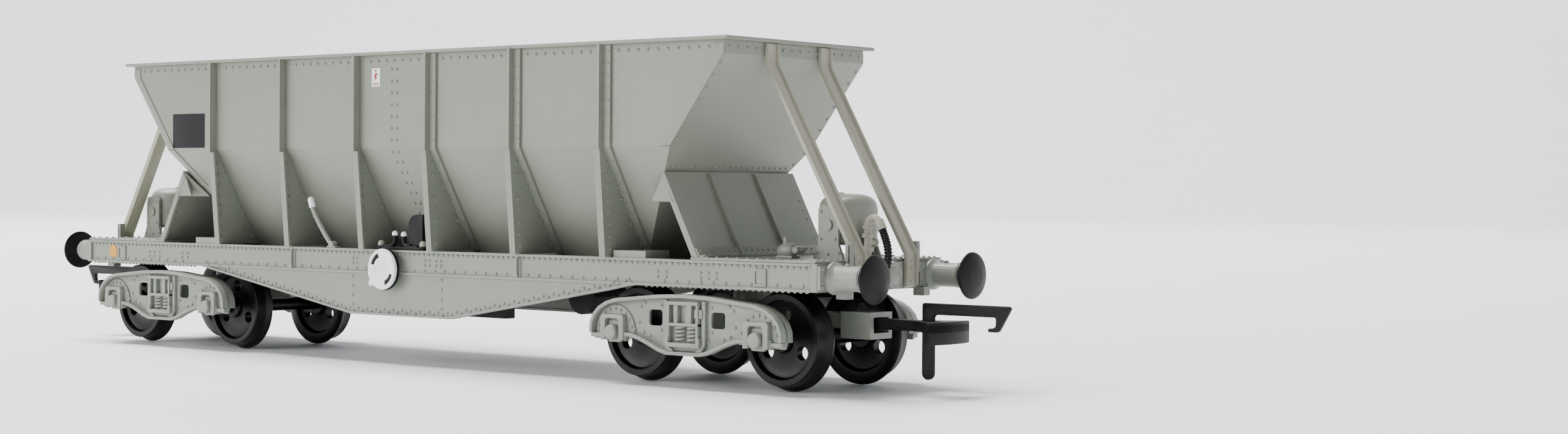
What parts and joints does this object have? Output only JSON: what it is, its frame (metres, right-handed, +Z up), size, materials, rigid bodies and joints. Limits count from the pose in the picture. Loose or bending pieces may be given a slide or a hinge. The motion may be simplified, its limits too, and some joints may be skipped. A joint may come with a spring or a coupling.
{
  "type": "model railway hopper wagon",
  "caption": "Scale model of a bogie hopper wagon: open hopper on a fishbelly underframe, swivelling bogies, rolling wheelsets, hook couplings and sprung buffers.",
  "frame": {"origin": "on the plane the wheel flanges stand on, below the wagon's centre", "axes": "+X along the wagon, the handbrake wheel on the -Y side, +Z up"},
  "size_m": [0.2016, 0.033, 0.0473],
  "materials": {
    "body": "satin",
    "frame": "satin",
    "cream": "satin",
    "black": "satin",
    "wheel": "satin",
    "buffer": "satin",
    "hose": "matte",
    "white": "satin"
  },
  "bodies": {
    "wagon": {"hopper_shell": "body", "rim_flange": "body", "end_apron_a": "body", "end_apron_b": "body", "brake_drum_a": "body", "brake_drum_b": "body", "solebar_near": "frame", "solebar_far": "frame", "underframe_floor": "black", "headstock_a": "frame", "headstock_b": "frame", "end_platform_a": "frame", "end_platform_b": "frame", "end_strut_a1": "cream", "end_strut_a2": "cream", "end_strut_b1": "cream", "end_strut_b2": "cream", "brake_pipe_a": "cream", "brake_pipe_b": "cream", "brake_hose_a": "hose", "brake_hose_b": "hose", "handbrake_wheel": "white", "brake_lever": "frame", "door_levers": "black", "train_pipe": "frame", "stanchion_near_1": "body", "stanchion_near_2": "body", "stanchion_near_3": "body", "stanchion_near_4": "body", "stanchion_near_5": "body", "stanchion_near_6": "body", "stanchion_far_1": "body", "stanchion_far_2": "body", "stanchion_far_3": "body", "stanchion_far_4": "body", "stanchion_far_5": "body", "stanchion_far_6": "body", "buffer_a_near_guide": "frame", "buffer_a_far_guide": "frame", "buffer_b_near_guide": "frame", "buffer_b_far_guide": "frame"},
    "bogie_a": {"bogie_a_frame_near": "frame", "bogie_a_frame_far": "frame", "bogie_a_bolster": "frame", "coupling_a": "black"},
    "wheels_a1": {"wheelset_a1": "wheel"},
    "wheels_a2": {"wheelset_a2": "wheel"},
    "hook_a": {"coupling_hook_a": "black"},
    "buffer_a_near": {"buffer_a_near_head": "buffer"},
    "buffer_a_far": {"buffer_a_far_head": "buffer"},
    "bogie_b": {"bogie_b_frame_near": "frame", "bogie_b_frame_far": "frame", "bogie_b_bolster": "frame", "coupling_b": "black"},
    "wheels_b1": {"wheelset_b1": "wheel"},
    "wheels_b2": {"wheelset_b2": "wheel"},
    "hook_b": {"coupling_hook_b": "black"},
    "buffer_b_near": {"buffer_b_near_head": "buffer"},
    "buffer_b_far": {"buffer_b_far_head": "buffer"}
  },
  "joints": [
    {"name": "bogie_a_swivel", "type": "hinge", "parent": "wagon", "child": "bogie_a", "pos_m": [-0.05824, 0, 0.0131], "axis": [0, 0, 1], "range_deg": [-12, 12]},
    {"name": "wheelset_a1_roll", "type": "hinge", "parent": "bogie_a", "child": "wheels_a1", "pos_m": [-0.0711, 0, 0.007], "axis": [0, 1, 0], "continuous": true},
    {"name": "wheelset_a2_roll", "type": "hinge", "parent": "bogie_a", "child": "wheels_a2", "pos_m": [-0.04538, 0, 0.007], "axis": [0, 1, 0], "continuous": true},
    {"name": "hook_a_lift", "type": "hinge", "parent": "bogie_a", "child": "hook_a", "pos_m": [-0.08795, 0, 0.00915], "axis": [0, 1, 0], "range_deg": [0, 20]},
    {"name": "buffer_a_near_push", "type": "slide", "parent": "wagon", "child": "buffer_a_near", "axis": [1, 0, 0], "range_m": [0, 0.0007], "stiffness_N_per_m": 400},
    {"name": "buffer_a_far_push", "type": "slide", "parent": "wagon", "child": "buffer_a_far", "axis": [1, 0, 0], "range_m": [0, 0.0007], "stiffness_N_per_m": 400},
    {"name": "bogie_b_swivel", "type": "hinge", "parent": "wagon", "child": "bogie_b", "pos_m": [0.05824, 0, 0.0131], "axis": [0, 0, 1], "range_deg": [-12, 12]},
    {"name": "wheelset_b1_roll", "type": "hinge", "parent": "bogie_b", "child": "wheels_b1", "pos_m": [0.04538, 0, 0.007], "axis": [0, 1, 0], "continuous": true},
    {"name": "wheelset_b2_roll", "type": "hinge", "parent": "bogie_b", "child": "wheels_b2", "pos_m": [0.0711, 0, 0.007], "axis": [0, 1, 0], "continuous": true},
    {"name": "hook_b_lift", "type": "hinge", "parent": "bogie_b", "child": "hook_b", "pos_m": [0.08795, 0, 0.00915], "axis": [0, -1, 0], "range_deg": [0, 20]},
    {"name": "buffer_b_near_push", "type": "slide", "parent": "wagon", "child": "buffer_b_near", "axis": [-1, 0, 0], "range_m": [0, 0.0007], "stiffness_N_per_m": 400},
    {"name": "buffer_b_far_push", "type": "slide", "parent": "wagon", "child": "buffer_b_far", "axis": [-1, 0, 0], "range_m": [0, 0.0007], "stiffness_N_per_m": 400}
  ]
}
